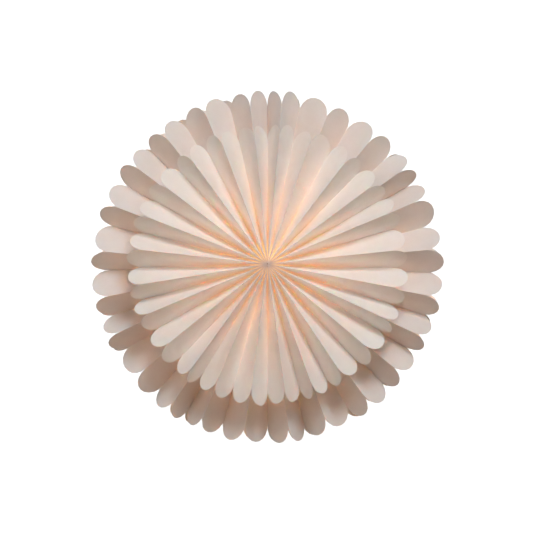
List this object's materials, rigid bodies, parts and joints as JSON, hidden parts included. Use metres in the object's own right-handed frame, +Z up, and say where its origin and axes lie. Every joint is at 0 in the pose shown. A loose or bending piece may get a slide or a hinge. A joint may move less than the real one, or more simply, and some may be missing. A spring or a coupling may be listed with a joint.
{
  "type": "accordion paper lantern",
  "caption": "Round hanging lantern of four pleated paper rings with petal edges, opened like a fan round a wire cage that holds a screw-in lamp.",
  "frame": {"origin": "centre of the lantern, on the axis of its rings", "axes": "+Y along the axis towards the back, so the front faces -Y; +Z up, with the seam at the bottom"},
  "size_m": [0.499, 0.2311, 0.499],
  "materials": {
    "paper": "matte",
    "tab": "matte",
    "thread": "matte",
    "wire": "satin",
    "wood": "satin",
    "holder_plastic": "satin",
    "ceramic": "satin",
    "brass": "satin",
    "nickel": "satin",
    "solder": "satin",
    "dark_glass": "gloss",
    "bulb_glass": "gloss",
    "phosphor": "matte"
  },
  "bodies": {
    "cage": {"cage_ring_front": "wire", "cage_ring_back": "wire", "collar_ring": "wire", "cage_strut_1": "wire", "cage_strut_2": "wire", "cage_strut_3": "wire", "cage_strut_4": "wire", "front_hub": "wood", "centre_dowel": "wood", "binding_thread_front": "thread", "binding_thread_back": "thread", "hanging_eye": "wire"},
    "fan_1": {"small_front_sheet_1": "paper", "large_front_sheet_1": "paper", "large_back_sheet_1": "paper", "small_back_sheet_1": "paper"},
    "fan_2": {"small_front_sheet_2": "paper", "large_front_sheet_2": "paper", "large_back_sheet_2": "paper", "small_back_sheet_2": "paper"},
    "fan_3": {"small_front_sheet_3": "paper", "large_front_sheet_3": "paper", "large_back_sheet_3": "paper", "small_back_sheet_3": "paper"},
    "fan_4": {"small_front_sheet_4": "paper", "large_front_sheet_4": "paper", "large_back_sheet_4": "paper", "small_back_sheet_4": "paper"},
    "fan_5": {"small_front_sheet_5": "paper", "large_front_sheet_5": "paper", "large_back_sheet_5": "paper", "small_back_sheet_5": "paper"},
    "fan_6": {"small_front_sheet_6": "paper", "large_front_sheet_6": "paper", "large_back_sheet_6": "paper", "small_back_sheet_6": "paper", "small_front_closing_tab": "tab", "large_front_closing_tab": "tab", "large_back_closing_tab": "tab", "small_back_closing_tab": "tab"},
    "lamp_holder": {"holder_spider": "nickel", "holder_barrel": "holder_plastic", "holder_cap": "holder_plastic", "cord_gland": "holder_plastic", "socket_insert": "ceramic", "screw_shell": "brass", "terminal_screw_live": "brass", "terminal_screw_neutral": "nickel"},
    "retaining_ring": {"retaining_ring": "holder_plastic"},
    "centre_contact": {"centre_contact": "brass"},
    "bulb": {"bulb_cap": "nickel", "bulb_insulator": "dark_glass", "bulb_tip_contact": "solder", "bulb_glass": "bulb_glass", "filament_stem": "bulb_glass", "led_filament_1": "phosphor", "led_filament_2": "phosphor", "led_filament_3": "phosphor"}
  },
  "joints": [
    {"name": "fan_1_fold", "type": "hinge", "parent": "cage", "child": "fan_1", "pos_m": [0, 0, 0], "axis": [0, -1, 0], "range_deg": [0, 52.5], "deforming": ["small_front_sheet_1", "large_front_sheet_1", "large_back_sheet_1", "small_back_sheet_1"]},
    {"name": "fan_2_fold", "type": "hinge", "parent": "fan_1", "child": "fan_2", "pos_m": [0, 0, 0], "axis": [0, -1, 0], "range_deg": [0, 52.5], "deforming": ["small_front_sheet_2", "large_front_sheet_2", "large_back_sheet_2", "small_back_sheet_2"]},
    {"name": "fan_3_fold", "type": "hinge", "parent": "fan_2", "child": "fan_3", "pos_m": [0, 0, 0], "axis": [0, -1, 0], "range_deg": [0, 52.5], "deforming": ["small_front_sheet_3", "large_front_sheet_3", "large_back_sheet_3", "small_back_sheet_3"]},
    {"name": "fan_4_fold", "type": "hinge", "parent": "fan_3", "child": "fan_4", "pos_m": [0, 0, 0], "axis": [0, -1, 0], "range_deg": [0, 52.5], "deforming": ["small_front_sheet_4", "large_front_sheet_4", "large_back_sheet_4", "small_back_sheet_4"]},
    {"name": "fan_5_fold", "type": "hinge", "parent": "fan_4", "child": "fan_5", "pos_m": [0, 0, 0], "axis": [0, -1, 0], "range_deg": [0, 52.5], "deforming": ["small_front_sheet_5", "large_front_sheet_5", "large_back_sheet_5", "small_back_sheet_5"]},
    {"name": "fan_6_fold", "type": "hinge", "parent": "fan_5", "child": "fan_6", "pos_m": [0, 0, 0], "axis": [0, -1, 0], "range_deg": [0, 52.5], "deforming": ["small_front_sheet_6", "large_front_sheet_6", "large_back_sheet_6", "small_back_sheet_6"]},
    {"name": "lamp_withdraw", "type": "slide", "parent": "cage", "child": "lamp_holder", "axis": [0, 1, 0], "range_m": [0, 0.125]},
    {"name": "retaining_ring_off", "type": "slide", "parent": "lamp_holder", "child": "retaining_ring", "axis": [0, -1, 0], "range_m": [0, 0.014]},
    {"name": "contact_press", "type": "slide", "parent": "lamp_holder", "child": "centre_contact", "axis": [0, 1, 0], "range_m": [0, 0.001], "stiffness_N_per_m": 600},
    {"name": "bulb_out", "type": "slide", "parent": "lamp_holder", "child": "bulb", "axis": [0, -1, 0], "range_m": [0, 0.024]}
  ],
  "couplings": [
    {"joint": "fan_2_fold", "follows": "fan_1_fold", "ratio": 1},
    {"joint": "fan_3_fold", "follows": "fan_1_fold", "ratio": 1},
    {"joint": "fan_4_fold", "follows": "fan_1_fold", "ratio": 1},
    {"joint": "fan_5_fold", "follows": "fan_1_fold", "ratio": 1},
    {"joint": "fan_6_fold", "follows": "fan_1_fold", "ratio": 1}
  ]
}
